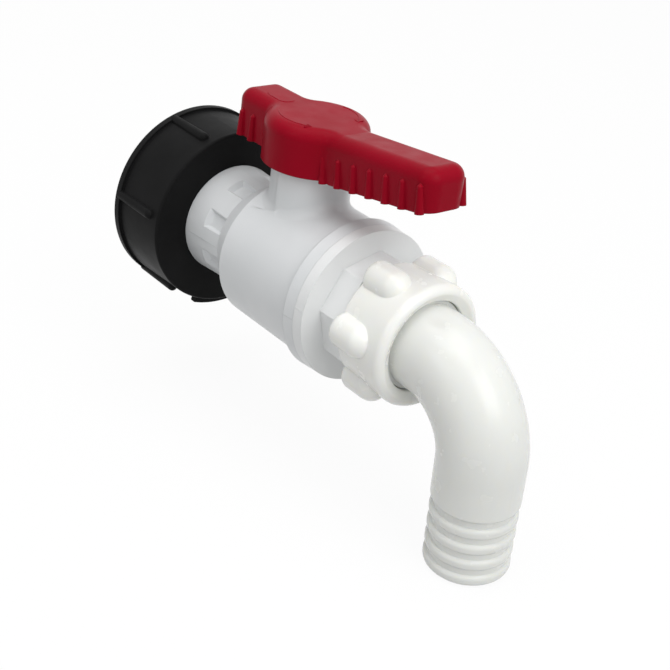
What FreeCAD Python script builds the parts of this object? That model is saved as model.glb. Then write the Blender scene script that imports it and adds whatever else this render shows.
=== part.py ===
import FreeCAD, Part
import Sketcher
import os

Vector = FreeCAD.Vector
document = FreeCAD.newDocument("ibc_tank_valve")
sheet = document.addObject("Spreadsheet::Sheet", "Sizes")

# Driving dimensions, in millimetres and degrees.
# The pipe axis is X, the way the liquid runs; the stem axis is Z; the origin is the adapter's mouth.
SIZES = {
    # black adapter with the coarse 60 mm tank thread
    "adapter_length": 29.5,
    "adapter_lip_radius": 39.4,
    "adapter_lip_width": 3.0,
    "adapter_skirt_radius": 38.3,
    "adapter_face_radius": 37.6,
    "adapter_edge_round": 1.0,
    "tank_thread_radius": 30.0,
    "tank_thread_depth": 16.0,
    "adapter_rib_count": 6,
    "adapter_rib_radius": 2.1,
    "adapter_rib_rise": 0.6,
    "adapter_rib_setback": 4.0,
    "adapter_rib_turn": 21.0,
    "adapter_pad_length": 3.4,
    "adapter_pad_rise": 1.7,
    "adapter_pad_round": 0.7,
    "adapter_pad_turn": 175.5,
    "adapter_pad_spread": 28.0,
    "gasket_thickness": 3.0,
    "gasket_inner_radius": 22.0,
    "gasket_groove_depth": 0.8,
    # clearances
    "thread_clearance": 0.05,
    "running_clearance": 0.05,
    "seat_clearance": 0.04,
    "face_clearance": 0.1,
    "loose_clearance": 0.3,
    # pipe threads and flow passage
    "pipe_thread_radius": 20.955,
    "flow_radius": 15.5,
    "inlet_spigot_length": 13.0,
    "spigot_chamfer": 1.2,
    "inlet_ring_section": 2.0,
    # valve body
    "collar_rear_radius": 23.4,
    "collar_front_radius": 22.1,
    "collar_length": 21.2,
    "cone_length": 11.9,
    "barrel_radius": 29.3,
    "barrel_rear_length": 14.4,
    "barrel_front_length": 30.0,
    "ring_rear_radius": 31.4,
    "ring_front_radius": 30.95,
    "ring_length": 5.4,
    "recess_count": 8,
    "recess_length": 10.0,
    "recess_width": 7.6,
    "recess_depth": 1.5,
    "recess_bevel": 1.2,
    "neck_radius": 15.66,
    "neck_height": 46.0,
    "neck_blend": 4.0,
    "handle_travel": 90.0,
    "stop_play": 1.0,
    "stop_ridge_height": 2.6,
    "stop_ridge_inner_radius": 12.6,
    "stop_ridge_outer_radius": 15.2,
    # ball, seats and their back rings
    "ball_radius": 23.5,
    "ball_slot_width": 9.0,
    "ball_slot_depth": 5.0,
    "chamber_clearance": 0.8,
    "seat_inner_radius": 16.2,
    "seat_outer_radius": 21.5,
    "seat_contact_radius": 18.0,
    "seat_nose_radius": 19.8,
    "seat_back": 20.5,
    "seat_groove_depth": 1.9,
    "seat_ring_section": 1.9,
    # end connector
    "socket_thread_radius": 26.0,
    "plug_thread_length": 14.0,
    "plug_sleeve_length": 7.5,
    "body_ring_section": 2.8,
    "flange_length": 4.7,
    "flange_front_radius": 30.7,
    "octagon_corner_radius": 22.8,
    "octagon_length": 10.8,
    "octagon_turn": -8.5,
    "outlet_spigot_length": 11.4,
    # stem
    "stem_radius": 9.0,
    "stem_collar_radius": 11.0,
    "stem_collar_height": 2.8,
    "stem_collar_top": 28.0,
    "washer_thickness": 1.5,
    "tang_width": 8.8,
    "stem_ring_section": 1.8,
    "stem_ring_low": 34.0,
    "stem_ring_pitch": 5.5,
    "square_width": 12.0,
    "square_height": 10.6,
    # handle
    "skirt_height": 43.35,
    "hub_radius": 20.1,
    "hub_top": 61.9,
    "handle_half_width": 10.0,
    "handle_wall": 2.4,
    "handle_roof": 3.4,
    "tail_length": 38.6,
    "arm_length": 72.4,
    "arm_rise_start": 22.0,
    "arm_bottom_rise": 8.56,
    "arm_top_rise": 5.6,
    "arm_corner_round": 6.4,
    "tail_corner_round": 5.1,
    "hub_blend": 4.5,
    "handle_top_round": 5.0,
    "boss_radius": 11.5,
    "stop_tab_angle": 16.0,
    "grip_rib_count": 7,
    "grip_rib_first": 18.5,
    "grip_rib_inset": 2.8,
    "grip_rib_height": 9.6,
    "grip_rib_foot_radius": 1.7,
    "grip_rib_top_radius": 1.1,
    "tail_rib_count": 2,
    "tail_rib_first": 26.8,
    "tail_rib_inset": 4.7,
    # swivel nut
    "nut_gap": 0.5,
    "nut_rear_radius": 23.3,
    "nut_front_radius": 24.5,
    "nut_edge_round": 3.0,
    "nut_crest_round": 1.2,
    "nut_lip": 6.7,
    "nut_hole_radius": 18.1,
    "nut_dish_radius": 21.2,
    "nut_dish_depth": 1.7,
    "lug_count": 6,
    "lug_radius": 6.7,
    "lug_crest_radius": 28.8,
    "lug_length": 17.8,
    "lug_rear_round": 3.0,
    "lug_turn": 24.1,
    # elbow
    "tail_washer_thickness": 2.8,
    "elbow_flange_radius": 20.2,
    "elbow_flange_thickness": 4.0,
    "elbow_collar_length": 3.6,
    "elbow_tube_radius": 16.5,
    "elbow_bead_root": 15.0,
    "elbow_bore_radius": 12.8,
    "elbow_bend_radius": 29.44,
    "elbow_lead": 5.85,
    "elbow_leg_length": 44.56,
    "elbow_swing": 3.43,
    "bead_count": 4,
    "bead_pitch": 7.0,
    "bead_crest_radius": 16.3,
    "bead_width": 4.6,
    "bead_round": 1.8,
    "bead_first_gap": 0.9,
}

for row, (name, number) in enumerate(SIZES.items(), start=1):
    sheet.set(f"A{row}", name)
    sheet.set(f"B{row}", str(number))
    sheet.setAlias(f"B{row}", name)
document.recompute()


class Size:
    """A number together with the sheet formula that gives it, so that one sum states both."""

    def __init__(self, value, formula):
        self.value = value
        self.formula = formula

    def __add__(self, other):
        other = as_size(other)
        return Size(self.value + other.value, f"({self.formula} + {other.formula})")

    def __radd__(self, other):
        return as_size(other) + self

    def __sub__(self, other):
        other = as_size(other)
        return Size(self.value - other.value, f"({self.formula} - {other.formula})")

    def __rsub__(self, other):
        return as_size(other) - self

    def __mul__(self, other):
        other = as_size(other)
        return Size(self.value * other.value, f"({self.formula} * {other.formula})")

    def __rmul__(self, other):
        return as_size(other) * self

    def __truediv__(self, other):
        other = as_size(other)
        return Size(self.value / other.value, f"({self.formula} / {other.formula})")

    def __rtruediv__(self, other):
        return as_size(other) / self

    def __neg__(self):
        return Size(-self.value, f"(-{self.formula})")

    def root(self):
        return Size(self.value ** 0.5, f"sqrt({self.formula})")


def as_size(number):
    return number if isinstance(number, Size) else Size(number, str(number))


class Sheet:
    """Gives each named cell of the sheet as a Size."""

    def __getattr__(self, name):
        return Size(float(sheet.get(name)), f"Sizes.{name}")


size = Sheet()


def bind(thing, path, amount):
    """Ties one property of an object to the sheet."""
    thing.setExpression(path, as_size(amount).formula)


def new_body(label, station=None):
    """An empty body; its own origin lies at the given station along the pipe axis."""
    body = document.addObject("PartDesign::Body", label)
    body.Label = label
    if station is not None:
        bind(body, "Placement.Base.x", station)
    return body


def plane_of(body, role):
    return [feature for feature in body.Origin.OriginFeatures if feature.Role == role][0]


def new_sketch(body, name, role, tilt=None, height=None):
    """A sketch on an origin plane, turned about the plane's own X and lifted along its normal."""
    sketch = body.newObject("Sketcher::SketchObject", name)
    sketch.AttachmentSupport = (plane_of(body, role), [""])
    sketch.MapMode = "FlatFace"
    if tilt is not None:
        sketch.AttachmentOffset = FreeCAD.Placement(Vector(), FreeCAD.Rotation(Vector(1, 0, 0), 1))
        bind(sketch, "AttachmentOffset.Rotation.Angle", tilt)
    if height is not None and tilt is None:
        bind(sketch, "AttachmentOffset.Base.z", height)
    if height is not None and tilt is not None:
        turn = f"{as_size(tilt).formula} * 1 deg"
        sketch.setExpression("AttachmentOffset.Base.y", f"-({height.formula}) * sin({turn})")
        sketch.setExpression("AttachmentOffset.Base.z", f"({height.formula}) * cos({turn})")
    return sketch


def pin_point(sketch, element, end, across, up):
    """Holds one end of a sketch element at a place given by two Sizes."""
    for kind, amount in (("DistanceX", as_size(across)), ("DistanceY", as_size(up))):
        index = sketch.addConstraint(Sketcher.Constraint(kind, -1, 1, element, end, amount.value))
        sketch.setExpression(f"Constraints[{index}]", amount.formula)


def draw_outline(sketch, corners):
    """A closed outline of straight sides. A corner is (across, up), or (across, up, radius)
    where the two sides that meet there lie square to each other and the corner is rounded."""
    stops = outline_stops(corners)
    first = sketch.GeometryCount
    places = [Vector(across.value, up.value, 0) for across, up, radius, corner in stops]
    for index, (across, up, radius, corner) in enumerate(stops):
        start = places[index]
        finish = places[(index + 1) % len(places)]
        if radius is None:
            sketch.addGeometry(Part.LineSegment(start, finish))
        else:
            halfway = (start + finish) * 0.5
            sketch.addGeometry(Part.Arc(start, halfway + (corner - halfway) * (2 ** 0.5 - 1), finish))
    for index, (across, up, radius, corner) in enumerate(stops):
        element = first + index
        following = first + (index + 1) % len(stops)
        here = end_at(sketch, element, places[index])
        there = end_at(sketch, following, places[(index + 1) % len(places)])
        sketch.addConstraint(Sketcher.Constraint("Coincident", element, 3 - here, following, there))
        pin_point(sketch, element, here, across, up)
        if radius is not None:
            held = sketch.addConstraint(Sketcher.Constraint("Radius", element, radius.value))
            sketch.setExpression(f"Constraints[{held}]", radius.formula)


def outline_stops(corners):
    """The points of an outline, with the radius and the sharp corner of each arc that starts there."""
    stops = []
    for index, corner in enumerate(corners):
        across, up = as_size(corner[0]), as_size(corner[1])
        if len(corner) == 2:
            stops.append((across, up, None, None))
            continue
        radius = as_size(corner[2])
        ends = []
        for neighbour in (corners[index - 1], corners[(index + 1) % len(corners)]):
            run = as_size(neighbour[0]).value - across.value
            climb = as_size(neighbour[1]).value - up.value
            if abs(run) > abs(climb):
                ends.append((across + radius if run > 0 else across - radius, up))
            else:
                ends.append((across, up + radius if climb > 0 else up - radius))
        stops.append((*ends[0], radius, Vector(across.value, up.value, 0)))
        stops.append((*ends[1], None, None))
    lengths = []
    for index, stop in enumerate(stops):
        ahead = stops[(index + 1) % len(stops)]
        lengths.append(abs(ahead[0].value - stop[0].value) + abs(ahead[1].value - stop[1].value))
    return [stop for stop, length in zip(stops, lengths) if length > 1e-6]


def end_at(sketch, element, place):
    """The number, 1 or 2, of the element's end that lies at the place."""
    return 1 if (sketch.getPoint(element, 1) - place).Length < 1e-6 else 2


def draw_circle(sketch, across, up, radius):
    radius = as_size(radius)
    centre = Vector(as_size(across).value, as_size(up).value, 0)
    element = sketch.addGeometry(Part.Circle(centre, Vector(0, 0, 1), radius.value))
    pin_point(sketch, element, 3, across, up)
    held = sketch.addConstraint(Sketcher.Constraint("Radius", element, radius.value))
    sketch.setExpression(f"Constraints[{held}]", radius.formula)


def draw_guide(sketch, start, finish):
    """A construction line, which a feature takes as its axis or direction."""
    places = [Vector(as_size(across).value, as_size(up).value, 0) for across, up in (start, finish)]
    element = sketch.addGeometry(Part.LineSegment(*places), True)
    pin_point(sketch, element, 1, *start)
    pin_point(sketch, element, 2, *finish)


def revolve(body, name, sketch, axis="H_Axis", cut=False, angle=360, both_ways=False):
    """Turns a sketch about one of its axes; Axis0 is its first construction line."""
    feature = body.newObject("PartDesign::Groove" if cut else "PartDesign::Revolution", name)
    feature.Profile = sketch
    feature.ReferenceAxis = (sketch, [axis])
    feature.Midplane = both_ways
    bind(feature, "Angle", angle)
    finish_feature(body, feature)
    return feature


def turn_outline(body, name, corners, axis="H_Axis", cut=False):
    """Turns an outline in the XZ plane about the pipe axis, or about the stem axis with V_Axis."""
    sketch = new_sketch(body, name + "_outline", "XZ_Plane")
    draw_outline(sketch, corners)
    return revolve(body, name, sketch, axis, cut)


def extrude(body, name, sketch, length, cut=False, both_ways=False, reverse=False):
    """Pads or pockets a sketch by a length."""
    feature = body.newObject("PartDesign::Pocket" if cut else "PartDesign::Pad", name)
    feature.Profile = sketch
    feature.Midplane = both_ways
    feature.Reversed = reverse
    bind(feature, "Length", length)
    finish_feature(body, feature)
    return feature


def finish_feature(body, feature):
    """Makes the feature the body's tip, and stops where it did not build."""
    body.Tip = feature
    document.recompute()
    if "Invalid" in feature.State or "Error" in feature.State or feature.Shape.isNull():
        raise RuntimeError(f"{feature.Label} did not build")


def polar_pattern(body, name, originals, copies):
    """Repeats features evenly about the pipe axis."""
    pattern = body.newObject("PartDesign::PolarPattern", name)
    pattern.Originals = originals
    pattern.Axis = (plane_of(body, "X_Axis"), [""])
    pattern.Angle = 360
    bind(pattern, "Occurrences", copies)
    finish_feature(body, pattern)


def line_pattern(body, name, originals, direction, pitch, copies, reverse=False):
    """Repeats features along a straight line."""
    pattern = body.newObject("PartDesign::LinearPattern", name)
    pattern.Originals = originals
    pattern.Direction = direction
    pattern.Reversed = reverse
    bind(pattern, "Length", pitch * (copies - 1))
    bind(pattern, "Occurrences", copies)
    finish_feature(body, pattern)


def round_edges(body, name, radius, wanted):
    """Rounds every edge of the body for which wanted(edge) is true."""
    base = body.Tip
    chosen = [f"Edge{number}" for number, edge in enumerate(base.Shape.Edges, start=1) if wanted(edge)]
    if not chosen:
        raise RuntimeError(f"{name} finds no edge")
    fillet = body.newObject("PartDesign::Fillet", name)
    fillet.Base = (base, chosen)
    bind(fillet, "Radius", radius)
    finish_feature(body, fillet)


def points_along(edge):
    """Five points spread along an edge, clear of its ends."""
    first, last = edge.ParameterRange
    return [edge.valueAt(first + (last - first) * share) for share in (0.1, 0.3, 0.5, 0.7, 0.9)]


def near(value, target):
    return abs(value - target) < 1e-3


def is_ring_edge(edge, station, radius):
    """True for an edge that runs about the pipe axis at the given station and radius."""
    return all(near(point.x, station.value) and near((point.y ** 2 + point.z ** 2) ** 0.5, radius.value)
               for point in points_along(edge))


def round_bar(body, name, axis_radius, rear, front, radius, tilt, rear_round=None):
    """A bar along the pipe axis, off centre, whose front is a half ball and whose rear edge may be round."""
    crest = axis_radius + radius
    rear_corner = (rear, crest) if rear_round is None else (rear, crest, rear_round)
    sketch = new_sketch(body, name + "_outline", "XZ_Plane", tilt=tilt)
    draw_outline(sketch, [(rear, axis_radius), rear_corner, (front, crest, radius), (front, axis_radius)])
    draw_guide(sketch, (rear, axis_radius), (front, axis_radius))
    return revolve(body, name, sketch, "Axis0")


def make_turned_ring(label, station, corners, axis="H_Axis"):
    """A washer, gasket or seat: one turned outline."""
    body = new_body(label, station)
    turn_outline(body, label + "_turn", corners, axis)


def make_round_ring(label, station, across, up, section, axis="H_Axis"):
    """A ring of round section, turned about the pipe axis, or the stem axis with V_Axis."""
    body = new_body(label, station)
    sketch = new_sketch(body, label + "_section", "XZ_Plane")
    draw_circle(sketch, across, up, section / 2)
    revolve(body, label + "_turn", sketch, axis)


# Stations along the pipe. Pieces of the valve proper are drawn from the stem axis.
cone_rear = -(size.barrel_rear_length + size.cone_length)
collar_rear = cone_rear - size.collar_length
spigot_tip = collar_rear - size.inlet_spigot_length
stem_station = size.adapter_length - collar_rear
ring_front = size.barrel_front_length + size.ring_length
flange_front = ring_front + size.flange_length
octagon_front = flange_front + size.octagon_length
outlet_tip = octagon_front + size.outlet_spigot_length
plug_shoulder = ring_front - size.plug_thread_length

gasket_face = size.tank_thread_depth - size.gasket_thickness

# Radii that two pieces share.
gasket_groove = size.tank_thread_radius + size.gasket_groove_depth
pipe_bore = size.pipe_thread_radius + size.thread_clearance
inlet_ring_bore = pipe_bore + size.inlet_ring_section + size.face_clearance
chamber_radius = size.ball_radius + size.chamber_clearance
seat_pocket_radius = size.seat_outer_radius + size.running_clearance
plug_radius = size.socket_thread_radius - size.thread_clearance

# The seat's cone touches the ball along a circle; these are its ends, from the ball's centre.
contact_square = (size.ball_radius + size.seat_clearance) * (size.ball_radius + size.seat_clearance)
contact_station = (contact_square - size.seat_contact_radius * size.seat_contact_radius).root()
cone_fall = size.seat_contact_radius / contact_station
seat_inner_edge = contact_station + (size.seat_contact_radius - size.seat_inner_radius) * cone_fall
seat_nose = contact_station - (size.seat_nose_radius - size.seat_contact_radius) * cone_fall
seat_wall = size.seat_back + size.face_clearance

# Heights on the stem.
slot_floor = size.ball_radius - size.ball_slot_depth
pocket_roof = size.stem_collar_top + size.running_clearance + size.washer_thickness
stem_bore = size.stem_radius + size.running_clearance
stem_top = size.neck_height + size.face_clearance + size.square_height
hub_roof = size.hub_top - size.handle_roof
boss_foot = size.neck_height + size.loose_clearance


def make_adapter():
    """Black moulded adapter: tank thread behind, pipe thread in front, six grip ribs, a short pad below."""
    body = new_body("ibc_adapter")
    ring_floor = size.adapter_length - size.inlet_ring_section - size.face_clearance
    turn_outline(body, "adapter_turn", [
        (0, size.tank_thread_radius),
        (0, size.adapter_lip_radius),
        (size.adapter_lip_width, size.adapter_lip_radius),
        (size.adapter_lip_width, size.adapter_skirt_radius),
        (size.adapter_length, size.adapter_face_radius),
        (size.adapter_length, inlet_ring_bore),
        (ring_floor, inlet_ring_bore),
        (ring_floor, pipe_bore),
        (size.tank_thread_depth, pipe_bore),
        (size.tank_thread_depth, gasket_groove),
        (gasket_face, gasket_groove),
        (gasket_face, size.tank_thread_radius),
    ])
    round_edges(body, "adapter_face_round", size.adapter_edge_round,
                lambda edge: is_ring_edge(edge, size.adapter_length, size.adapter_face_radius))
    rib_axis = size.adapter_lip_radius + size.adapter_rib_rise - size.adapter_rib_radius
    rib_tip = size.adapter_length - size.adapter_rib_setback
    rib = round_bar(body, "adapter_rib", rib_axis, size.adapter_lip_width / 2, rib_tip,
                    size.adapter_rib_radius, size.adapter_rib_turn)
    polar_pattern(body, "adapter_ribs", [rib], size.adapter_rib_count)
    pad_foot = size.adapter_lip_radius - size.adapter_lip_width
    pad_crest = size.adapter_lip_radius + size.adapter_pad_rise
    pad_rear = rib_tip - size.adapter_pad_length
    pad = new_sketch(body, "adapter_pad_outline", "XZ_Plane", tilt=size.adapter_pad_turn)
    draw_outline(pad, [
        (pad_rear, pad_foot),
        (pad_rear, pad_crest, size.adapter_pad_round),
        (rib_tip, pad_crest, size.adapter_pad_round),
        (rib_tip, pad_foot),
    ])
    revolve(body, "adapter_pad", pad, angle=size.adapter_pad_spread, both_ways=True)


def make_inlet_seals():
    """Flat gasket in its groove behind the tank thread, round ring at the root of the body's spigot."""
    gasket_rim = gasket_groove - size.loose_clearance
    make_turned_ring("adapter_gasket", None, [
        (gasket_face, size.gasket_inner_radius),
        (gasket_face, gasket_rim),
        (size.tank_thread_depth, gasket_rim),
        (size.tank_thread_depth, size.gasket_inner_radius),
    ])
    ring_half = (size.inlet_ring_section + size.face_clearance) / 2
    make_round_ring("inlet_o_ring", None, size.adapter_length - ring_half, pipe_bore + ring_half,
                    size.inlet_ring_section)


def make_valve_body():
    """White body: inlet spigot, collar with recesses, cone, barrel, front ring and stem neck."""
    body = new_body("valve_body", stem_station)
    turn_outline(body, "body_turn", [
        (spigot_tip, 0),
        (spigot_tip, size.pipe_thread_radius - size.spigot_chamfer),
        (spigot_tip + size.spigot_chamfer, size.pipe_thread_radius),
        (collar_rear, size.pipe_thread_radius),
        (collar_rear, size.collar_rear_radius),
        (cone_rear, size.collar_front_radius),
        (-size.barrel_rear_length, size.barrel_radius),
        (size.barrel_front_length, size.barrel_radius),
        (size.barrel_front_length, size.ring_rear_radius),
        (ring_front, size.ring_front_radius),
        (ring_front, 0),
    ])
    neck = new_sketch(body, "neck_circle", "XY_Plane")
    draw_circle(neck, 0, 0, size.neck_radius)
    extrude(body, "neck", neck, size.neck_height)
    round_edges(body, "neck_blend", size.neck_blend, is_neck_root)
    recess = make_recess(body)
    polar_pattern(body, "collar_recesses", [recess], size.recess_count)
    gland_rim = size.socket_thread_radius + size.body_ring_section + size.face_clearance
    gland_floor = ring_front - size.body_ring_section - size.face_clearance
    socket_floor = plug_shoulder - size.face_clearance
    turn_outline(body, "flow_passage", [
        (spigot_tip - 1, 0),
        (spigot_tip - 1, size.flow_radius),
        (-seat_wall, size.flow_radius),
        (-seat_wall, seat_pocket_radius),
        (-seat_nose, seat_pocket_radius),
        (-seat_nose, chamber_radius),
        (socket_floor, chamber_radius),
        (socket_floor, size.socket_thread_radius),
        (gland_floor, size.socket_thread_radius),
        (gland_floor, gland_rim),
        (ring_front + 1, gland_rim),
        (ring_front + 1, 0),
    ], cut=True)
    collar_bore = size.stem_collar_radius + size.loose_clearance
    turn_outline(body, "stem_passage", [
        (0, size.ball_radius / 2),
        (collar_bore, size.ball_radius / 2),
        (collar_bore, pocket_roof),
        (stem_bore, pocket_roof),
        (stem_bore, size.neck_height + 1),
        (0, size.neck_height + 1),
    ], axis="V_Axis", cut=True)
    ridge = new_sketch(body, "stop_ridge_outline", "XZ_Plane")
    draw_outline(ridge, [
        (size.stop_ridge_inner_radius, size.neck_height),
        (size.stop_ridge_outer_radius, size.neck_height),
        (size.stop_ridge_outer_radius, size.neck_height + size.stop_ridge_height),
        (size.stop_ridge_inner_radius, size.neck_height + size.stop_ridge_height),
    ])
    open_sector = size.handle_travel + size.stop_tab_angle + size.stop_play * 2
    revolve(body, "stop_ridge", ridge, "V_Axis", angle=360 - open_sector, both_ways=True)


def is_neck_root(edge):
    """True for the edge where the neck leaves the barrel and its cone."""
    return all(near((point.x ** 2 + point.y ** 2) ** 0.5, size.neck_radius.value)
               and 1 < point.z < size.barrel_radius.value + 1 for point in points_along(edge))


def make_recess(body):
    """One bevelled recess of the collar, open towards the cone: floor and mouth joined by a loft."""
    floor_height = size.collar_front_radius - size.recess_depth
    tilt = 180 / size.recess_count
    sketches = []
    for name, spread, height in (("recess_floor", 0, floor_height),
                                 ("recess_mouth", 2, floor_height + size.recess_depth * 2)):
        sketch = new_sketch(body, name, "XY_Plane", tilt=tilt, height=height)
        rear = cone_rear - size.recess_length + size.recess_bevel * (1 - spread)
        half = size.recess_width / 2 - size.recess_bevel * (1 - spread)
        draw_outline(sketch, [(rear, -half), (cone_rear, -half), (cone_rear, half), (rear, half)])
        sketches.append(sketch)
    recess = body.newObject("PartDesign::SubtractiveLoft", "collar_recess")
    recess.Profile = sketches[0]
    recess.Sections = [sketches[1]]
    recess.Ruled = True
    finish_feature(body, recess)
    return recess


def make_end_connector():
    """White end piece: seat sleeve and plug thread inside the body, flange, octagon, outlet thread."""
    body = new_body("end_connector", stem_station)
    sleeve_tip = plug_shoulder - size.plug_sleeve_length
    sleeve_radius = chamber_radius - size.face_clearance
    turn_outline(body, "connector_turn", [
        (sleeve_tip, 0),
        (sleeve_tip, sleeve_radius),
        (plug_shoulder, sleeve_radius),
        (plug_shoulder, plug_radius),
        (ring_front, plug_radius),
        (ring_front, size.ring_front_radius),
        (flange_front, size.flange_front_radius),
        (flange_front, size.pipe_thread_radius),
        (outlet_tip - size.spigot_chamfer, size.pipe_thread_radius),
        (outlet_tip, size.pipe_thread_radius - size.spigot_chamfer),
        (outlet_tip, 0),
    ])
    octagon = body.newObject("PartDesign::AdditivePrism", "octagon")
    octagon.Polygon = 8
    octagon.AttachmentSupport = (plane_of(body, "YZ_Plane"), [""])
    octagon.MapMode = "FlatFace"
    octagon.AttachmentOffset = FreeCAD.Placement(Vector(), FreeCAD.Rotation(Vector(0, 0, 1), 1))
    bind(octagon, "AttachmentOffset.Base.z", flange_front)
    bind(octagon, "AttachmentOffset.Rotation.Angle", 45 + size.octagon_turn)
    bind(octagon, "Circumradius", size.octagon_corner_radius)
    bind(octagon, "Height", size.octagon_length)
    finish_feature(body, octagon)
    turn_outline(body, "connector_passage", [
        (sleeve_tip - 1, 0),
        (sleeve_tip - 1, seat_pocket_radius),
        (seat_wall, seat_pocket_radius),
        (seat_wall, size.flow_radius),
        (outlet_tip + 1, size.flow_radius),
        (outlet_tip + 1, 0),
    ], cut=True)
    ring_half = (size.body_ring_section + size.face_clearance) / 2
    make_round_ring("body_o_ring", stem_station, ring_front - ring_half,
                    size.socket_thread_radius + ring_half, size.body_ring_section)


def make_seat(place, side):
    """One ball seat and the elastic ring in the groove of its back; side is -1 behind the ball."""
    middle = (size.seat_inner_radius + size.seat_outer_radius) / 2
    groove_half = size.seat_ring_section / 2 + size.running_clearance
    groove_floor = size.seat_back - size.seat_groove_depth
    corners = [
        (seat_inner_edge, size.seat_inner_radius),
        (seat_nose, size.seat_nose_radius),
        (seat_nose, size.seat_outer_radius),
        (size.seat_back, size.seat_outer_radius),
        (size.seat_back, middle + groove_half),
        (groove_floor, middle + groove_half),
        (groove_floor, middle - groove_half),
        (size.seat_back, middle - groove_half),
        (size.seat_back, size.seat_inner_radius),
    ]
    make_turned_ring("seat_ring_" + place, stem_station,
                     [(station * side, radius) for station, radius in corners])
    ring_station = (groove_floor + seat_wall) / 2
    make_round_ring("seat_o_ring_" + place, stem_station, ring_station * side, middle,
                    size.seat_ring_section)


def make_ball():
    """Bored ball; the slot in its top lies across the bore."""
    body = new_body("ball", stem_station)
    sphere = body.newObject("PartDesign::AdditiveSphere", "sphere")
    bind(sphere, "Radius", size.ball_radius)
    finish_feature(body, sphere)
    bore = new_sketch(body, "bore_circle", "YZ_Plane")
    draw_circle(bore, 0, 0, size.flow_radius)
    extrude(body, "bore", bore, size.ball_radius * 3, cut=True, both_ways=True)
    slot = new_sketch(body, "slot_outline", "XZ_Plane")
    half = size.ball_slot_width / 2
    top = size.ball_radius + 1
    draw_outline(slot, [(-half, slot_floor), (half, slot_floor), (half, top), (-half, top)])
    extrude(body, "slot", slot, size.ball_radius * 3, cut=True, both_ways=True)


def make_stem():
    """Stem: flat tang in the ball's slot, collar under the neck, two ring grooves, square head."""
    body = new_body("stem", stem_station)
    tang_foot = slot_floor + size.loose_clearance
    collar_foot = size.stem_collar_top - size.stem_collar_height
    groove_half = size.stem_ring_section / 2 + size.face_clearance
    groove_radius = size.stem_radius - size.stem_ring_section
    corners = [
        (0, tang_foot),
        (size.stem_radius, tang_foot),
        (size.stem_radius, collar_foot),
        (size.stem_collar_radius, collar_foot),
        (size.stem_collar_radius, size.stem_collar_top),
        (size.stem_radius, size.stem_collar_top),
    ]
    for level in (size.stem_ring_low, size.stem_ring_low + size.stem_ring_pitch):
        corners += [
            (size.stem_radius, level - groove_half),
            (groove_radius, level - groove_half),
            (groove_radius, level + groove_half),
            (size.stem_radius, level + groove_half),
        ]
    corners += [(size.stem_radius, stem_top), (0, stem_top)]
    turn_outline(body, "stem_turn", corners, axis="V_Axis")
    flats = new_sketch(body, "tang_flats", "XZ_Plane")
    for side in (-1, 1):
        near_edge = size.tang_width / 2 * side
        far_edge = (size.stem_radius + 1) * side
        draw_outline(flats, [(near_edge, tang_foot - 1), (far_edge, tang_foot - 1),
                             (far_edge, collar_foot), (near_edge, collar_foot)])
    extrude(body, "tang", flats, size.stem_radius * 3, cut=True, both_ways=True)
    square = new_sketch(body, "square_outline", "XY_Plane", height=stem_top)
    half = size.square_width / 2
    draw_outline(square, [(-half, -half), (half, -half), (half, half), (-half, half)])
    draw_circle(square, 0, 0, size.stem_radius + 1)
    extrude(body, "square", square, size.square_height, cut=True)
    washer_foot = size.stem_collar_top + size.running_clearance
    make_turned_ring("stem_washer", stem_station, [
        (stem_bore, washer_foot),
        (size.stem_collar_radius, washer_foot),
        (size.stem_collar_radius, pocket_roof),
        (stem_bore, pocket_roof),
    ], axis="V_Axis")
    ring_radius = groove_radius + size.stem_ring_section / 2 + size.running_clearance / 2
    for place, level in (("lower", size.stem_ring_low),
                         ("upper", size.stem_ring_low + size.stem_ring_pitch)):
        make_round_ring("stem_o_ring_" + place, stem_station, ring_radius, level,
                        size.stem_ring_section, axis="V_Axis")


def make_handle():
    """Red lever, hollow underneath: round hub, flat tail, long arm that rises to its end, grip ribs."""
    body = new_body("handle", stem_station)
    hub = new_sketch(body, "hub_circle", "XY_Plane", height=size.skirt_height)
    draw_circle(hub, 0, 0, size.hub_radius)
    extrude(body, "hub", hub, size.hub_top - size.skirt_height)
    extrude(body, "lever", handle_side(body, "lever_side", 0), size.handle_half_width * 2, both_ways=True)
    round_edges(body, "hub_blends", size.hub_blend, is_hub_corner)
    round_edges(body, "arm_corners", size.arm_corner_round, lambda edge: is_lever_corner(edge, size.arm_length))
    round_edges(body, "tail_corners", size.tail_corner_round, lambda edge: is_lever_corner(edge, -size.tail_length))
    round_edges(body, "top_rounds", size.handle_top_round, is_top_edge)
    cavity = new_sketch(body, "hub_cavity_circle", "XY_Plane", height=size.skirt_height)
    draw_circle(cavity, 0, 0, size.hub_radius - size.handle_wall)
    extrude(body, "hub_cavity", cavity, hub_roof - size.skirt_height, cut=True, reverse=True)
    extrude(body, "lever_cavity", handle_side(body, "lever_cavity_side", 1),
            (size.handle_half_width - size.handle_wall) * 2, cut=True, both_ways=True)
    boss = new_sketch(body, "boss_circle", "XY_Plane", height=boss_foot)
    draw_circle(boss, 0, 0, size.boss_radius)
    extrude(body, "boss", boss, hub_roof + size.handle_roof / 2 - boss_foot)
    make_stop_tab(body)
    socket = new_sketch(body, "socket_square", "XY_Plane", height=boss_foot)
    half = size.square_width / 2 + size.running_clearance
    draw_outline(socket, [(-half, -half), (half, -half), (half, half), (-half, half)])
    extrude(body, "socket", socket, stem_top + size.loose_clearance - boss_foot, cut=True, reverse=True)
    for place, side in (("near", 1), ("far", -1)):
        make_grip_ribs(body, place, side)


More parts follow.
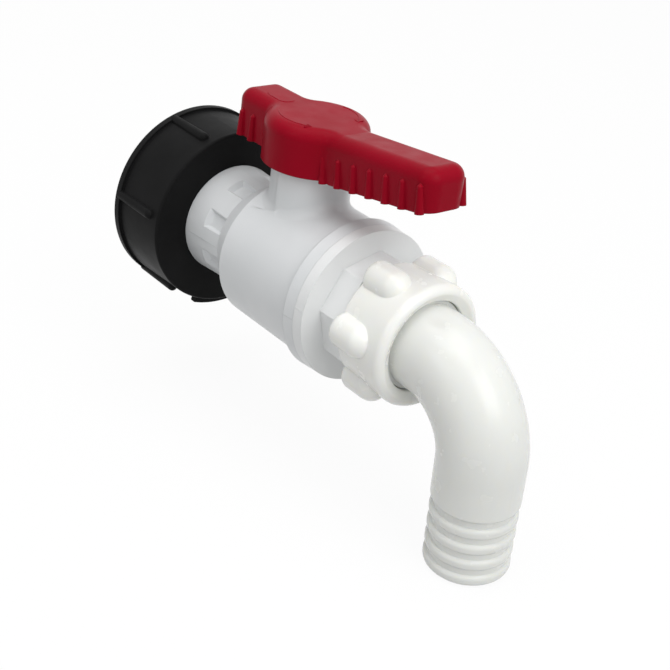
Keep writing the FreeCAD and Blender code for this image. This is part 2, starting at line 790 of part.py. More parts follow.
def handle_side(body, name, inset):
    """Side outline of tail and arm; inset 1 gives the hollow inside it, open below."""
    tail = -(size.tail_length - size.handle_wall * inset)
    end = size.arm_length - size.handle_wall * inset
    foot = size.skirt_height - 5 * inset
    drop = size.handle_roof * inset
    sketch = new_sketch(body, name, "XZ_Plane")
    draw_outline(sketch, [
        (tail, foot),
        (size.arm_rise_start, foot),
        (end, foot + size.arm_bottom_rise),
        (end, size.hub_top + size.arm_top_rise - drop),
        (size.arm_rise_start, size.hub_top - drop),
        (tail, size.hub_top - drop),
    ])
    return sketch


def is_upright(edge):
    first, last = edge.firstVertex().Point, edge.lastVertex().Point
    return near(first.x, last.x) and near(first.y, last.y) and not near(first.z, last.z)


def is_hub_corner(edge):
    """True where the lever's side leaves the round hub."""
    point = edge.firstVertex().Point
    return (is_upright(edge) and near(abs(point.y), size.handle_half_width.value)
            and near((point.x ** 2 + point.y ** 2) ** 0.5, size.hub_radius.value))


def is_lever_corner(edge, end):
    """True for the two upright corners at one end of the lever."""
    point = edge.firstVertex().Point
    return (is_upright(edge) and near(point.x, end.value)
            and near(abs(point.y), size.handle_half_width.value))


def handle_top(across):
    """Height of the handle's top at a place along it."""
    along = max(0, across - size.arm_rise_start.value)
    run = size.arm_length.value - size.arm_rise_start.value
    return size.hub_top.value + size.arm_top_rise.value * along / run


def is_top_edge(edge):
    """True for the rim of the handle's top, but not for the crease where the arm starts to rise."""
    places = points_along(edge)
    crease = all(near(place.x, size.arm_rise_start.value) for place in places)
    return not crease and all(near(place.z, handle_top(place.x)) for place in places)


def make_stop_tab(body):
    """Tab inside the hub that meets the two ends of the neck's stop ridge."""
    sketch = new_sketch(body, "stop_tab_outline", "XZ_Plane")
    sketch.AttachmentOffset = FreeCAD.Placement(Vector(), FreeCAD.Rotation(Vector(0, 1, 0), 1))
    bind(sketch, "AttachmentOffset.Rotation.Angle", 180 + size.handle_travel / 2)
    tab_rim = size.stop_ridge_outer_radius
    draw_outline(sketch, [
        (size.boss_radius - 1, boss_foot),
        (tab_rim, boss_foot),
        (tab_rim, hub_roof + size.handle_roof / 2),
        (size.boss_radius - 1, hub_roof + size.handle_roof / 2),
    ])
    revolve(body, "stop_tab", sketch, "V_Axis", angle=size.stop_tab_angle, both_ways=True)


def make_grip_ribs(body, place, side):
    """Tapered half-round ribs on one side, square to the edge below them, on the arm and the tail."""
    run = size.arm_length - size.arm_rise_start
    slant = (run * run + size.arm_bottom_rise * size.arm_bottom_rise).root()
    arm_row = (size.arm_length - size.grip_rib_inset - size.grip_rib_first) * slant / run
    tail_row = size.tail_length - size.tail_rib_inset - size.tail_rib_first
    arm_start = (size.grip_rib_first,
                 size.skirt_height + (size.grip_rib_first - size.arm_rise_start) * size.arm_bottom_rise / run)
    arm_along = (run / slant, size.arm_bottom_rise / slant)
    tail_start = (-size.tail_rib_first, size.skirt_height)
    tail_along = (as_size(-1), as_size(0))
    for part, start, along, row, count in (
            ("arm", arm_start, arm_along, arm_row, size.grip_rib_count),
            ("tail", tail_start, tail_along, tail_row, size.tail_rib_count)):
        turn = 1 if part == "arm" else -1
        up = (-along[1] * turn, along[0] * turn)
        name = f"{part}_rib_{place}"
        sketch = new_sketch(body, name + "_outline", "XZ_Plane", height=size.handle_half_width * side)
        head = (start[0] + up[0] * size.grip_rib_height, start[1] + up[1] * size.grip_rib_height)
        tip = (head[0] + up[0] * size.grip_rib_top_radius, head[1] + up[1] * size.grip_rib_top_radius)
        draw_outline(sketch, [
            start,
            (start[0] + along[0] * size.grip_rib_foot_radius, start[1] + along[1] * size.grip_rib_foot_radius),
            (head[0] + along[0] * size.grip_rib_top_radius, head[1] + along[1] * size.grip_rib_top_radius),
            tip,
        ])
        draw_guide(sketch, start, tip)
        draw_guide(sketch, start, (start[0] + along[0], start[1] + along[1]))
        rib = revolve(body, name, sketch, "Axis0")
        line_pattern(body, name + "s", [rib], (sketch, ["Axis1"]), row / (count - 1), count)


def make_swivel_nut():
    """Natural-coloured union nut: six rounded lugs, inner thread, front lip that holds the elbow."""
    body = new_body("swivel_nut", nut_station)
    rear_round = size.nut_edge_round / 2
    turn_outline(body, "nut_turn", [
        (0, 0),
        (0, size.nut_rear_radius),
        (nut_length, size.nut_front_radius),
        (nut_length, 0),
    ])
    round_edges(body, "nut_front_round", size.nut_edge_round,
                lambda edge: is_ring_edge(edge, nut_length, size.nut_front_radius))
    round_edges(body, "nut_rear_round", rear_round,
                lambda edge: is_ring_edge(edge, as_size(0), size.nut_rear_radius))
    lug = round_bar(body, "lug", size.lug_crest_radius - size.lug_radius, as_size(0), size.lug_length,
                    size.lug_radius, size.lug_turn, size.lug_rear_round)
    polar_pattern(body, "lugs", [lug], size.lug_count)
    lip_face = nut_length - size.nut_lip
    turn_outline(body, "nut_passage", [
        (-1, 0),
        (-1, pipe_bore),
        (lip_face, pipe_bore),
        (lip_face, size.nut_hole_radius),
        (nut_length - size.nut_dish_depth, size.nut_hole_radius),
        (nut_length, size.nut_dish_radius),
        (nut_length + 1, size.nut_dish_radius),
        (nut_length + 1, 0),
    ], cut=True)
    round_edges(body, "nut_crest_round", size.nut_crest_round,
                lambda edge: is_ring_edge(edge, nut_length, size.nut_dish_radius))


def make_elbow():
    """Natural-coloured hose elbow: flange held by the nut, quarter bend, hose leg with beads."""
    body = new_body("hose_elbow", elbow_station)
    body.Placement.Rotation = FreeCAD.Rotation(Vector(1, 0, 0), 1)
    bind(body, "Placement.Rotation.Angle", size.elbow_swing)
    collar_front = size.elbow_flange_thickness + size.elbow_collar_length
    collar_radius = size.nut_hole_radius - size.loose_clearance
    bend_start = collar_front + size.elbow_lead
    leg_axis = bend_start + size.elbow_bend_radius
    leg_top = -size.elbow_bend_radius
    mouth = leg_top - size.elbow_leg_length
    turn_outline(body, "elbow_inlet", [
        (0, 0),
        (0, size.elbow_flange_radius),
        (size.elbow_flange_thickness, size.elbow_flange_radius),
        (size.elbow_flange_thickness, collar_radius),
        (collar_front, collar_radius),
        (collar_front, size.elbow_tube_radius),
        (bend_start, size.elbow_tube_radius),
        (bend_start, 0),
    ])
    sweep_bend(body, "bend", bend_start, leg_axis, leg_top, size.elbow_tube_radius)
    leg = new_sketch(body, "leg_outline", "XZ_Plane")
    tube_side = leg_axis + size.elbow_tube_radius
    root_side = leg_axis + size.elbow_bead_root
    tube_end = mouth + size.bead_pitch * size.bead_count + size.bead_first_gap
    draw_outline(leg, [(leg_axis, leg_top), (tube_side, leg_top), (tube_side, tube_end, size.bead_first_gap),
                       (root_side, tube_end), (root_side, mouth), (leg_axis, mouth)])
    draw_guide(leg, (leg_axis, leg_top), (leg_axis, mouth))
    revolve(body, "leg", leg, "Axis0")
    bead_sketch = new_sketch(body, "bead_outline", "XZ_Plane")
    crest = leg_axis + size.bead_crest_radius
    bead_top = mouth + size.bead_width
    draw_outline(bead_sketch, [(leg_axis, mouth), (crest, mouth, size.bead_round),
                               (crest, bead_top, size.bead_round), (leg_axis, bead_top)])
    draw_guide(bead_sketch, (leg_axis, mouth), (leg_axis, bead_top))
    bead = revolve(body, "bead", bead_sketch, "Axis0")
    line_pattern(body, "beads", [bead], (bead_sketch, ["V_Axis"]), size.bead_pitch, size.bead_count)
    sweep_bend(body, "bend_bore", bend_start, leg_axis, leg_top, size.elbow_bore_radius, cut=True)
    turn_outline(body, "inlet_bore", [
        (-1, 0),
        (-1, size.elbow_bore_radius),
        (bend_start, size.elbow_bore_radius),
        (bend_start, 0),
    ], cut=True)
    leg_bore = new_sketch(body, "leg_bore_outline", "XZ_Plane")
    bore_side = leg_axis + size.elbow_bore_radius
    draw_outline(leg_bore, [(leg_axis, leg_top), (bore_side, leg_top), (bore_side, mouth - 1),
                            (leg_axis, mouth - 1)])
    draw_guide(leg_bore, (leg_axis, leg_top), (leg_axis, mouth - 1))
    revolve(body, "leg_bore", leg_bore, "Axis0", cut=True)


def sweep_bend(body, name, bend_start, leg_axis, leg_top, radius, cut=False):
    """A round bar or bore along a quarter circle, from the pipe axis down to the leg."""
    spine = new_sketch(body, name + "_line", "XZ_Plane")
    centre = Vector(bend_start.value, leg_top.value, 0)
    start = Vector(bend_start.value, 0, 0)
    finish = Vector(leg_axis.value, leg_top.value, 0)
    reach = (start - centre).Length * 0.5 ** 0.5
    spine.addGeometry(Part.Arc(start, centre + Vector(reach, reach, 0), finish))
    start_end = end_at(spine, 0, start)
    pin_point(spine, 0, start_end, bend_start, 0)
    pin_point(spine, 0, 3 - start_end, leg_axis, leg_top)
    held = spine.addConstraint(Sketcher.Constraint("Radius", 0, size.elbow_bend_radius.value))
    bind(spine, f"Constraints[{held}]", size.elbow_bend_radius)
    inlet = new_sketch(body, name + "_inlet", "YZ_Plane", height=bend_start)
    draw_circle(inlet, 0, 0, radius)
    pipe = body.newObject("PartDesign::SubtractivePipe" if cut else "PartDesign::AdditivePipe", name)
    pipe.Profile = inlet
    pipe.Spine = spine
    finish_feature(body, pipe)


def make_tail_washer():
    """Flat washer between the outlet spigot and the elbow's flange."""
    washer_rear = outlet_tip + size.running_clearance
    washer_front = washer_rear + size.tail_washer_thickness
    make_turned_ring("tail_washer", stem_station, [
        (washer_rear, size.flow_radius),
        (washer_rear, size.elbow_flange_radius),
        (washer_front, size.elbow_flange_radius),
        (washer_front, size.flow_radius),
    ])


# Stations of the tail, which stands on the outlet spigot's end.
elbow_station = stem_station + outlet_tip + size.running_clearance * 2 + size.tail_washer_thickness
nut_station = stem_station + octagon_front + size.nut_gap
nut_length = (elbow_station + size.elbow_flange_thickness + size.face_clearance + size.nut_lip) - nut_station

make_adapter()
make_inlet_seals()
make_valve_body()
make_end_connector()
make_seat("rear", -1)
make_seat("front", 1)
make_ball()
make_stem()
make_handle()
make_swivel_nut()
make_tail_washer()
make_elbow()

document.recompute()
for thing in document.Objects:
    if "Invalid" in thing.State or "Error" in thing.State:
        raise RuntimeError(f"{thing.Label} failed")
os.makedirs("parts", exist_ok=True)
for piece in document.Objects:
    if piece.TypeId == "PartDesign::Body":
        if piece.Shape.isNull() or not piece.Shape.isValid():
            raise RuntimeError(f"{piece.Label} has no valid shape")
        piece.Shape.exportStep(f"parts/{piece.Label}.step")
        print(piece.Label, round(piece.Shape.Volume), "mm3", len(piece.Shape.Solids), "solid")
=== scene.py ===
import math

import bpy
from mathutils import Matrix, Vector


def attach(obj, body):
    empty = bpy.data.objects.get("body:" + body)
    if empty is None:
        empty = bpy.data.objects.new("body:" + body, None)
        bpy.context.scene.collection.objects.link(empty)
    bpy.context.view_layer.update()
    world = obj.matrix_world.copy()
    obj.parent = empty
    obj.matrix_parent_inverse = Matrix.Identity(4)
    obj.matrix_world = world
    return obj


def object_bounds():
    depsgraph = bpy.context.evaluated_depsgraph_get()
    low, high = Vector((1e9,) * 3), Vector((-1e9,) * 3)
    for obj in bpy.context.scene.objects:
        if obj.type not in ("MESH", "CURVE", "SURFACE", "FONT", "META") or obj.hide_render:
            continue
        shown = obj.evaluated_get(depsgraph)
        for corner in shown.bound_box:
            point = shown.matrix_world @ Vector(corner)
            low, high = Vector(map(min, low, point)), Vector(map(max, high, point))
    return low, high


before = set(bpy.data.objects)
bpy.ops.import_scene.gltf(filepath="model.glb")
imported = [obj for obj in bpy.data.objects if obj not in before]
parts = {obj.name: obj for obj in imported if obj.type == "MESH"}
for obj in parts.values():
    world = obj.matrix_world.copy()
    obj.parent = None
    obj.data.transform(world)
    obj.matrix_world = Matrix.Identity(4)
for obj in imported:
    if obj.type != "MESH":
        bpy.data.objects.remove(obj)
cad_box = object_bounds()

# ---- Tank adapter --------------------------------------------------------
# Black polypropylene cap that screws on the tank's coarse outlet thread.
# Moulded with a satin spark finish.


def moulding(name, colour, roughness, gloss=0.5):
    """Starts a material for one moulding and returns its node tree, shader and place on the part."""
    material = bpy.data.materials.new(name)
    material.use_nodes = True
    tree = material.node_tree
    shader = tree.nodes["Principled BSDF"]
    shader.inputs["Base Color"].default_value = (*colour, 1)
    shader.inputs["Roughness"].default_value = roughness
    shader.inputs["Specular IOR Level"].default_value = gloss
    place = tree.nodes.new("ShaderNodeTexCoord")
    return material, tree, shader, place.outputs["Object"]


def soft_edges(tree, radius):
    """The normal of the part with its moulded edges rounded by that radius."""
    edge = tree.nodes.new("ShaderNodeBevel")
    edge.samples = 6
    edge.inputs["Radius"].default_value = radius
    return edge.outputs["Normal"]


def cloud(tree, place, grains_per_metre, detail=2.0, stretch=(1, 1, 1)):
    """Noise over the part, with its grain size given as grains in a metre."""
    turn = tree.nodes.new("ShaderNodeMapping")
    turn.inputs["Scale"].default_value = stretch
    noise = tree.nodes.new("ShaderNodeTexNoise")
    noise.inputs["Scale"].default_value = grains_per_metre
    noise.inputs["Detail"].default_value = detail
    tree.links.new(place, turn.inputs["Vector"])
    tree.links.new(turn.outputs["Vector"], noise.inputs["Vector"])
    return noise.outputs["Fac"]


def spread(tree, value, low, high, start=0.3, end=0.7):
    """Spreads a noise value over a range, so that it drives a roughness or a bump."""
    span = tree.nodes.new("ShaderNodeMapRange")
    for socket, number in (("From Min", start), ("From Max", end), ("To Min", low), ("To Max", high)):
        span.inputs[socket].default_value = number
    tree.links.new(value, span.inputs["Value"])
    return span.outputs["Result"]


def relief(tree, shader, height, depth, under=None):
    """Adds a relief of that depth in metres to the shader's normal, over an earlier one."""
    bump = tree.nodes.new("ShaderNodeBump")
    bump.inputs["Strength"].default_value = 1.0
    bump.inputs["Distance"].default_value = depth
    tree.links.new(height, bump.inputs["Height"])
    if under:
        tree.links.new(under, bump.inputs["Normal"])
    tree.links.new(bump.outputs["Normal"], shader.inputs["Normal"])
    return bump.outputs["Normal"]


def tint(tree, shader, value, colour, other, start=0.3, end=0.7):
    """Varies the shader's colour between two close shades by a noise value."""
    ramp = tree.nodes.new("ShaderNodeValToRGB")
    ramp.color_ramp.elements[0].position = start
    ramp.color_ramp.elements[1].position = end
    ramp.color_ramp.elements[0].color = (*colour, 1)
    ramp.color_ramp.elements[1].color = (*other, 1)
    tree.links.new(value, ramp.inputs["Fac"])
    tree.links.new(ramp.outputs["Color"], shader.inputs["Base Color"])


def finish_node(node, material):
    """Gives a moulding of the frame its finish."""
    mesh = parts[node].data
    mesh.materials.clear()
    mesh.materials.append(material)


black, tree, shader, place = moulding("black_polypropylene", (0.0078, 0.0078, 0.0080), 0.42, 0.05)
tint(tree, shader, cloud(tree, place, 60), (0.0070, 0.0070, 0.0072), (0.0092, 0.0092, 0.0094))
tree.links.new(spread(tree, cloud(tree, place, 90, 3), 0.38, 0.49), shader.inputs["Roughness"])
flow = relief(tree, shader, cloud(tree, place, 140, 1.0), 0.00010, soft_edges(tree, 0.0006))
relief(tree, shader, cloud(tree, place, 2600, 2.0), 0.000012, flow)
finish_node("ibc_adapter", black)


def new_tree(name, sizes):
    """A geometry node tree with named sizes; returns it with its input node and the sizes' sockets."""
    tree = bpy.data.node_groups.new(name, "GeometryNodeTree")
    tree.interface.new_socket("Geometry", in_out="OUTPUT", socket_type="NodeSocketGeometry")
    sockets = {}
    for label, value in sizes.items():
        socket = tree.interface.new_socket(label, in_out="INPUT", socket_type="NodeSocketFloat")
        socket.default_value = value
        sockets[label] = socket.identifier
    return tree, tree.nodes.new("NodeGroupInput"), sockets


def close_tree(tree, geometry, material):
    """Ends a tree with real geometry in one material."""
    real = tree.nodes.new("GeometryNodeRealizeInstances")
    coat = tree.nodes.new("GeometryNodeSetMaterial")
    coat.inputs["Material"].default_value = material
    end = tree.nodes.new("NodeGroupOutput")
    tree.links.new(geometry, real.inputs["Geometry"])
    tree.links.new(real.outputs["Geometry"], coat.inputs["Geometry"])
    tree.links.new(coat.outputs["Geometry"], end.inputs["Geometry"])


def grow(name, tree, sockets, sizes, body, base=None):
    """Runs a tree once, keeps the plain mesh it makes, and fixes the piece to its body."""
    holder = bpy.data.objects.new(name + "_plan", base or bpy.data.meshes.new(name + "_plan"))
    bpy.context.collection.objects.link(holder)
    modifier = holder.modifiers.new("plan", "NODES")
    modifier.node_group = tree
    for label, value in sizes.items():
        modifier[sockets[label]] = value
    seen = bpy.context.evaluated_depsgraph_get()
    mesh = bpy.data.meshes.new_from_object(holder.evaluated_get(seen))
    bpy.data.objects.remove(holder)
    mesh.name = name
    piece = bpy.data.objects.new(name, mesh)
    bpy.context.collection.objects.link(piece)
    for face in mesh.polygons:
        face.use_smooth = True
    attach(piece, body)


thread_sizes = {"Crest radius": 0.0286, "Wall radius": 0.0302, "Pitch": 0.006, "Turns": 1.9,
                "Crest width": 0.0012, "Root width": 0.0034, "First ridge": 0.0008}
thread_tree, given, thread_sockets = new_tree("coarse_thread", thread_sizes)
spiral = thread_tree.nodes.new("GeometryNodeCurveSpiral")
spiral.inputs["Resolution"].default_value = 96
ridge = thread_tree.nodes.new("GeometryNodeCurvePrimitiveQuadrilateral")
ridge.mode = "TRAPEZOID"
ridge.inputs["Offset"].default_value = 0
link = thread_tree.links.new


def reckon(tree, operation, first, second):
    """One sum in a tree; each side is a socket or a plain number."""
    sum_node = tree.nodes.new("ShaderNodeMath")
    sum_node.operation = operation
    for socket, value in zip(sum_node.inputs, (first, second)):
        if isinstance(value, (int, float)):
            socket.default_value = value
        else:
            tree.links.new(value, socket)
    return sum_node.outputs[0]


middle_radius = reckon(thread_tree, "MULTIPLY", 0.5, reckon(
    thread_tree, "ADD", given.outputs["Crest radius"], given.outputs["Wall radius"]))
link(given.outputs["Turns"], spiral.inputs["Rotations"])
link(middle_radius, spiral.inputs["Start Radius"])
link(middle_radius, spiral.inputs["End Radius"])
link(reckon(thread_tree, "MULTIPLY", given.outputs["Pitch"], given.outputs["Turns"]), spiral.inputs["Height"])
link(given.outputs["Root width"], ridge.inputs["Bottom Width"])
link(given.outputs["Crest width"], ridge.inputs["Top Width"])
link(reckon(thread_tree, "SUBTRACT", given.outputs["Wall radius"], given.outputs["Crest radius"]),
     ridge.inputs["Height"])
upright = thread_tree.nodes.new("GeometryNodeSetCurveNormal")
upright.mode = "Z_UP"
link(spiral.outputs["Curve"], upright.inputs["Curve"])
turned_ridge = thread_tree.nodes.new("GeometryNodeTransform")
turned_ridge.inputs["Rotation"].default_value = (0, 0, math.radians(-90))
link(ridge.outputs["Curve"], turned_ridge.inputs["Geometry"])
swept = thread_tree.nodes.new("GeometryNodeCurveToMesh")
swept.inputs["Fill Caps"].default_value = True
link(upright.outputs["Curve"], swept.inputs["Curve"])
link(turned_ridge.outputs["Geometry"], swept.inputs["Profile Curve"])
laid = thread_tree.nodes.new("GeometryNodeTransform")
laid.inputs["Rotation"].default_value = (0, math.radians(90), 0)
start = thread_tree.nodes.new("ShaderNodeCombineXYZ")
link(reckon(thread_tree, "ADD", given.outputs["First ridge"], reckon(
    thread_tree, "MULTIPLY", 0.5, given.outputs["Root width"])), start.inputs["X"])
link(start.outputs["Vector"], laid.inputs["Translation"])
link(swept.outputs["Mesh"], laid.inputs["Geometry"])
close_tree(thread_tree, laid.outputs["Geometry"], black)
grow("tank_thread", thread_tree, thread_sockets, thread_sizes, "housing")

# ---- Seals, seats and ball -----------------------------------------------
# Rings of black elastomer in their grooves, two white fluoropolymer seats,
# and the moulded ball that turns between them.
rubber, tree, shader, place = moulding("seal_elastomer", (0.018, 0.018, 0.018), 0.6)
tree.links.new(spread(tree, cloud(tree, place, 400), 0.5, 0.68), shader.inputs["Roughness"])
relief(tree, shader, cloud(tree, place, 3000), 0.00002)
for ring in ("adapter_gasket", "inlet_o_ring", "body_o_ring", "seat_o_ring_rear", "seat_o_ring_front",
             "stem_o_ring_lower", "stem_o_ring_upper", "tail_washer"):
    finish_node(ring, rubber)

seat, tree, shader, place = moulding("seat_fluoropolymer", (0.84, 0.84, 0.82), 0.38)
shader.inputs["Subsurface Weight"].default_value = 0.15
shader.inputs["Subsurface Radius"].default_value = (0.002, 0.002, 0.002)
relief(tree, shader, cloud(tree, place, 40, 2, (60, 1, 1)), 0.00002)
for ring in ("seat_ring_rear", "seat_ring_front", "stem_washer"):
    finish_node(ring, seat)

polished, tree, shader, place = moulding("ball_polypropylene", (0.78, 0.79, 0.79), 0.18)
tree.links.new(spread(tree, cloud(tree, place, 200), 0.14, 0.24), shader.inputs["Roughness"])
finish_node("ball", polished)

# ---- Valve body and stem -------------------------------------------------
# White polypropylene barrel with its neck and recessed collar, moulded in
# one piece, with a thin parting line at the height of the pipe axis.
white, tree, shader, place = moulding("white_polypropylene", (0.70, 0.72, 0.73), 0.36)
shader.inputs["Subsurface Weight"].default_value = 0.12
shader.inputs["Subsurface Radius"].default_value = (0.0015, 0.0015, 0.0015)
tint(tree, shader, cloud(tree, place, 45), (0.69, 0.71, 0.72), (0.72, 0.735, 0.745))
tree.links.new(spread(tree, cloud(tree, place, 120, 3), 0.31, 0.41), shader.inputs["Roughness"])
flow = relief(tree, shader, cloud(tree, place, 110, 1.0), 0.00008, soft_edges(tree, 0.0005))
relief(tree, shader, cloud(tree, place, 2200), 0.000008, flow)
finish_node("valve_body", white)
finish_node("stem", white)


def drawn_lines(name, runs):
    """A mesh of loose edges, one run of points after another."""
    points, edges = [], []
    for run in runs:
        first = len(points)
        points += run
        edges += [(first + step, first + step + 1) for step in range(len(run) - 1)]
    mesh = bpy.data.meshes.new(name)
    mesh.from_pydata(points, edges, [])
    return mesh


def raised_lines(name, runs, line_radius, material, body):
    """Half-sunk round beads along runs of points, as a cutter leaves them in a mould."""
    sizes = {"Line radius": line_radius, "Step": 0.0004}
    tree, given, sockets = new_tree(name + "_tree", sizes)
    tree.interface.new_socket("Lines", in_out="INPUT", socket_type="NodeSocketGeometry")
    tree.interface.move(tree.interface.items_tree[-1], 0)
    curve = tree.nodes.new("GeometryNodeMeshToCurve")
    even = tree.nodes.new("GeometryNodeResampleCurve")
    even.mode = "LENGTH"
    bead = tree.nodes.new("GeometryNodeCurvePrimitiveCircle")
    bead.inputs["Resolution"].default_value = 10
    swept = tree.nodes.new("GeometryNodeCurveToMesh")
    swept.inputs["Fill Caps"].default_value = True
    tree.links.new(given.outputs["Lines"], curve.inputs["Mesh"])
    tree.links.new(curve.outputs["Curve"], even.inputs["Curve"])
    tree.links.new(given.outputs["Step"], even.inputs["Length"])
    tree.links.new(given.outputs["Line radius"], bead.inputs["Radius"])
    tree.links.new(even.outputs["Curve"], swept.inputs["Curve"])
    tree.links.new(bead.outputs["Curve"], swept.inputs["Profile Curve"])
    close_tree(tree, swept.outputs["Mesh"], material)
    grow(name, tree, sockets, sizes, body, drawn_lines(name + "_plan", runs))


# The mould's halves meet a little off the height of the pipe axis. They leave a fine flash line
# on the recessed collar and across the rim of the front ring.
collar_run = ((0.0300, 0.02332), (0.0505, 0.02208))
ring_run = ((0.1071, 0.0314), (0.1123, 0.03096))
parting_turn = 1.7
flash_runs = []
for side in (parting_turn, 180 + parting_turn):
    turn = math.radians(side)
    for run in (collar_run, ring_run):
        flash_runs.append([(along, radius * math.cos(turn), radius * math.sin(turn))
                           for along, radius in run])
raised_lines("body_flash_lines", flash_runs, 0.00009, white, "housing")

# ---- End connector -------------------------------------------------------
# White polypropylene connector with an octagon for the spanner, screwed into
# the body against an O-ring.
bright, tree, shader, place = moulding("connector_polypropylene", (0.80, 0.812, 0.812), 0.33)
shader.inputs["Subsurface Weight"].default_value = 0.12
shader.inputs["Subsurface Radius"].default_value = (0.0015, 0.0015, 0.0015)
tree.links.new(spread(tree, cloud(tree, place, 120, 3), 0.28, 0.38), shader.inputs["Roughness"])
flow = relief(tree, shader, cloud(tree, place, 110, 1.0), 0.00008, soft_edges(tree, 0.0005))
relief(tree, shader, cloud(tree, place, 2200), 0.000008, flow)
finish_node("end_connector", bright)

# A short flash line stands on the flange where its mould shuts.
flange_turn = math.radians(172)
flange_run = [(along, radius * math.cos(flange_turn), radius * math.sin(flange_turn))
              for along, radius in ((0.1126, 0.03094), (0.1170, 0.03072))]
raised_lines("flange_flash_line", [flange_run], 0.00012, bright, "housing")

# ---- Handle --------------------------------------------------------------
# Red moulded lever with a skirt and grip ribs, pressed on the stem. Its skin
# is a little glossier than the valve's and slightly wavy.
red, tree, shader, place = moulding("red_moulding", (0.265, 0.0010, 0.011), 0.33, 0.06)
tint(tree, shader, cloud(tree, place, 50), (0.255, 0.0009, 0.010), (0.285, 0.0013, 0.013))
tree.links.new(spread(tree, cloud(tree, place, 150, 3), 0.30, 0.40), shader.inputs["Roughness"])
flow = relief(tree, shader, cloud(tree, place, 120, 1.0), 0.00008, soft_edges(tree, 0.0005))
relief(tree, shader, cloud(tree, place, 2400), 0.00001, flow)
finish_node("handle", red)

# Two turning arrows round the hub and a hooked line on the tail stand up from
# the handle's flat top, which lies at hub_top.
hub_top = 0.06186
stem_place = 0.077
arrow_radius = 0.0151


def hub_point(radius, angle):
    """A point on the hub's top, at that distance and angle from the stem."""
    turn = math.radians(angle)
    return (stem_place + radius * math.cos(turn), radius * math.sin(turn), hub_top)


def arrow_runs(first, last, barb=0.0016, barb_turn=9, steps=24):
    """An arc round the hub and the two barbs at its end."""
    angles = [first + (last - first) * count / steps for count in range(steps + 1)]
    back = last - math.copysign(barb_turn, last - first)
    return [[hub_point(arrow_radius, angle) for angle in angles],
            [hub_point(arrow_radius + barb, back), hub_point(arrow_radius, last),
             hub_point(arrow_radius - barb, back)]]


# The hook's points are given from the stem, along and across the handle.
hook = [(-0.0268, -0.0040), (-0.0240, -0.0050), (-0.0172, -0.0051), (-0.0155, -0.0040), (-0.0151, -0.0012),
        (-0.0160, 0.0004)]
mark_runs = arrow_runs(-128, -48) + arrow_runs(104, 36)
mark_runs.append([(stem_place + across, aside, hub_top) for across, aside in hook])
raised_lines("turning_marks", mark_runs, 0.00022, red, "spindle")

# ---- Union nut -----------------------------------------------------------
# Natural polyamide nut with six rounded lugs. It is glossy and slightly
# see-through, so light spreads inside it.
natural, tree, shader, place = moulding("natural_polyamide", (0.89, 0.895, 0.86), 0.24)
shader.inputs["Subsurface Weight"].default_value = 0.35
shader.inputs["Subsurface Radius"].default_value = (0.004, 0.0035, 0.0025)
tint(tree, shader, cloud(tree, place, 40), (0.88, 0.885, 0.845), (0.905, 0.91, 0.875))
tree.links.new(spread(tree, cloud(tree, place, 130, 3), 0.19, 0.29), shader.inputs["Roughness"])
flow = relief(tree, shader, cloud(tree, place, 90, 1.0), 0.00012, soft_edges(tree, 0.0007))
relief(tree, shader, cloud(tree, place, 1800), 0.000006, flow)
finish_node("swivel_nut", natural)

# ---- Hose elbow ----------------------------------------------------------
# Natural polyamide elbow that the nut holds by its flange, with four beads
# for a hose and clip.
elbow, tree, shader, place = moulding("elbow_polyamide", (0.77, 0.78, 0.75), 0.24)
shader.inputs["Subsurface Weight"].default_value = 0.35
shader.inputs["Subsurface Radius"].default_value = (0.004, 0.0035, 0.0025)
tint(tree, shader, cloud(tree, place, 35), (0.76, 0.77, 0.74), (0.785, 0.795, 0.765))
tree.links.new(spread(tree, cloud(tree, place, 130, 3), 0.19, 0.29), shader.inputs["Roughness"])
flow = relief(tree, shader, cloud(tree, place, 55, 1.0), 0.00008, soft_edges(tree, 0.0005))
relief(tree, shader, cloud(tree, place, 1500), 0.000003, flow)
finish_node("hose_elbow", elbow)

# ---- Floor, light and camera ---------------------------------------------
# A pale floor just below the elbow's mouth, three soft lamps and a pale world
# that is lighter above and beyond the outlet than low on the near side.
floor_level = cad_box[0][2] - 0.0005
floor_mesh = bpy.data.meshes.new("floor")
reach = 3.0
floor_mesh.from_pydata([(-reach, -reach, floor_level), (reach, -reach, floor_level),
                        (reach, reach, floor_level), (-reach, reach, floor_level)], [], [(0, 1, 2, 3)])
floor = bpy.data.objects.new("floor", floor_mesh)
bpy.context.collection.objects.link(floor)
paper = bpy.data.materials.new("white_paper")
paper.use_nodes = True
tree = paper.node_tree
surface = tree.nodes["Principled BSDF"]
surface.inputs["Base Color"].default_value = (0.5, 0.5, 0.5, 1)
surface.inputs["Roughness"].default_value = 0.9
glow = tree.nodes.new("ShaderNodeEmission")
glow.inputs["Strength"].default_value = 1.06
blend = tree.nodes.new("ShaderNodeMixShader")


def seen_or_mirrored(tree):
    """1 for a ray from the camera, a mirrored ray or one through a clear part, and 0 for light itself."""
    path = tree.nodes.new("ShaderNodeLightPath")
    either = path.outputs["Is Camera Ray"]
    for ray in ("Is Glossy Ray", "Is Transmission Ray"):
        larger = tree.nodes.new("ShaderNodeMath")
        larger.operation = "MAXIMUM"
        tree.links.new(either, larger.inputs[0])
        tree.links.new(path.outputs[ray], larger.inputs[1])
        either = larger.outputs[0]
    return either


paper_glow = 0.88
tree.links.new(reckon(tree, "MULTIPLY", seen_or_mirrored(tree), paper_glow), blend.inputs["Fac"])
tree.links.new(surface.outputs["BSDF"], blend.inputs[1])
tree.links.new(glow.outputs["Emission"], blend.inputs[2])
tree.links.new(blend.outputs["Shader"], tree.nodes["Material Output"].inputs["Surface"])
floor_mesh.materials.append(paper)

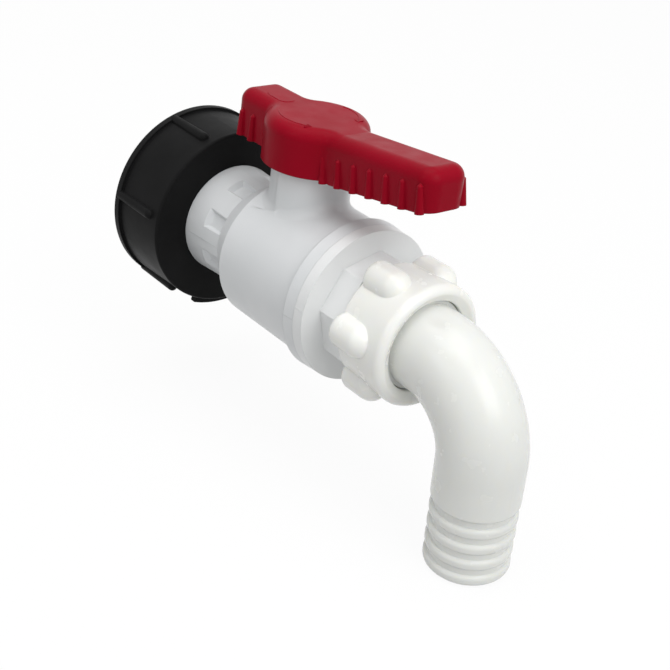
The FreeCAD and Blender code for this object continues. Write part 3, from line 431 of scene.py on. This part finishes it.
world = bpy.data.worlds.new("studio")
bpy.context.scene.world = world
world.use_nodes = True
tree = world.node_tree
sky = tree.nodes["Background"]
sky.inputs["Color"].default_value = (1, 1, 1, 1)
way = tree.nodes.new("ShaderNodeTexCoord")
facing = tree.nodes.new("ShaderNodeVectorMath")
facing.operation = "DOT_PRODUCT"
facing.inputs[1].default_value = (0.45, -0.1, 0.89)
tree.links.new(way.outputs["Generated"], facing.inputs[0])
tree.links.new(spread(tree, facing.outputs["Value"], 0.06, 0.80, -0.3, 0.9), sky.inputs["Strength"])
white_sky = tree.nodes.new("ShaderNodeBackground")
white_sky.inputs["Color"].default_value = (1, 1, 1, 1)
white_sky.inputs["Strength"].default_value = 1.0
blend = tree.nodes.new("ShaderNodeMixShader")
tree.links.new(seen_or_mirrored(tree), blend.inputs["Fac"])
tree.links.new(sky.outputs["Background"], blend.inputs[1])
tree.links.new(white_sky.outputs["Background"], blend.inputs[2])
tree.links.new(blend.outputs["Shader"], tree.nodes["World Output"].inputs["Surface"])


def lamp(name, place, aim, width, height, power):
    """A soft box at that place, turned towards its aim."""
    light = bpy.data.lights.new(name, "AREA")
    light.shape = "RECTANGLE"
    light.size = width
    light.size_y = height
    light.energy = power
    holder = bpy.data.objects.new(name, light)
    holder.location = place
    holder.rotation_euler = (Vector(aim) - Vector(place)).to_track_quat("-Z", "Y").to_euler()
    bpy.context.collection.objects.link(holder)


middle = (0.1, 0.0, 0.0)
lamp("overhead", (0.0, -0.1, 0.9), middle, 0.8, 0.8, 3.4)
lamp("front", (0.0, -0.85, 0.6), middle, 0.4, 0.4, 0.6)
lamp("side", (0.8, -0.02, 0.62), middle, 0.6, 0.6, 3.1)

camera = bpy.data.cameras.new("camera")
camera.lens = 68.98
camera.sensor_width = 36
camera.clip_start = 0.01
camera.clip_end = 20
viewer = bpy.data.objects.new("camera", camera)
# The view's own directions: to the right, upwards, and back from the valve to the viewer.
right, up, back = (0.6217, 0.7739, 0.1202), (-0.4366, 0.2151, 0.8736), (0.6502, -0.5956, 0.4716)
stand = Matrix((right, up, back)).transposed().to_4x4()
stand.translation = (0.4279, -0.2982, 0.2164)
viewer.matrix_world = stand
bpy.context.collection.objects.link(viewer)
bpy.context.scene.camera = viewer
bpy.context.scene.view_settings.view_transform = "Standard"
